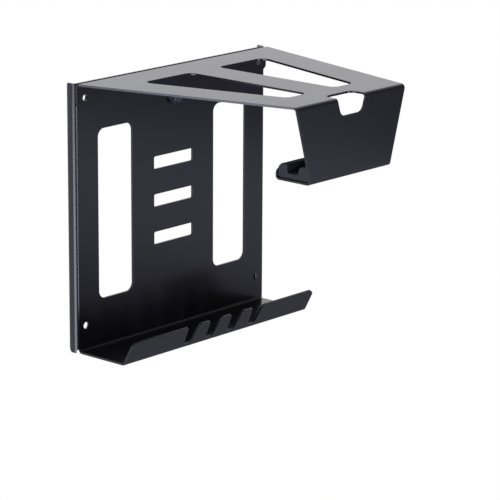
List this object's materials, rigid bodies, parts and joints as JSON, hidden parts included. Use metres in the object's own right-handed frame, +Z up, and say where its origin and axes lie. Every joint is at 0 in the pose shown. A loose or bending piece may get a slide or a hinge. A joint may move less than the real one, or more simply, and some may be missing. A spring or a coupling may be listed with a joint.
{
  "type": "bicycle wall rack",
  "caption": "Wall rack of folded black sheet steel: a pierced wall panel with a tray at its foot, and a tapered arm reaching forward to a padded cradle for a bicycle frame.",
  "frame": {"origin": "centre of the four wall screw holes, on the panel's front face", "axes": "+X to the right as seen from the front, +Y into the wall, +Z up"},
  "size_m": [0.335, 0.2939, 0.327],
  "materials": {
    "powder_coat": "satin black powder coat on sheet steel",
    "foam": "matte dark grey closed-cell foam",
    "adhesive": "matte black adhesive sheet",
    "black_steel": "dark zinc-plated steel",
    "nylon": "blue nylon"
  },
  "bodies": {
    "root": {"wall_panel": "powder_coat", "support_arm": "powder_coat", "cradle_pad": "foam", "pad_adhesive": "adhesive", "clamp_bolt": "black_steel", "front_washer": "black_steel", "rear_washer": "black_steel", "lock_nut": "black_steel", "nut_ring": "nylon"}
  },
  "joints": []
}
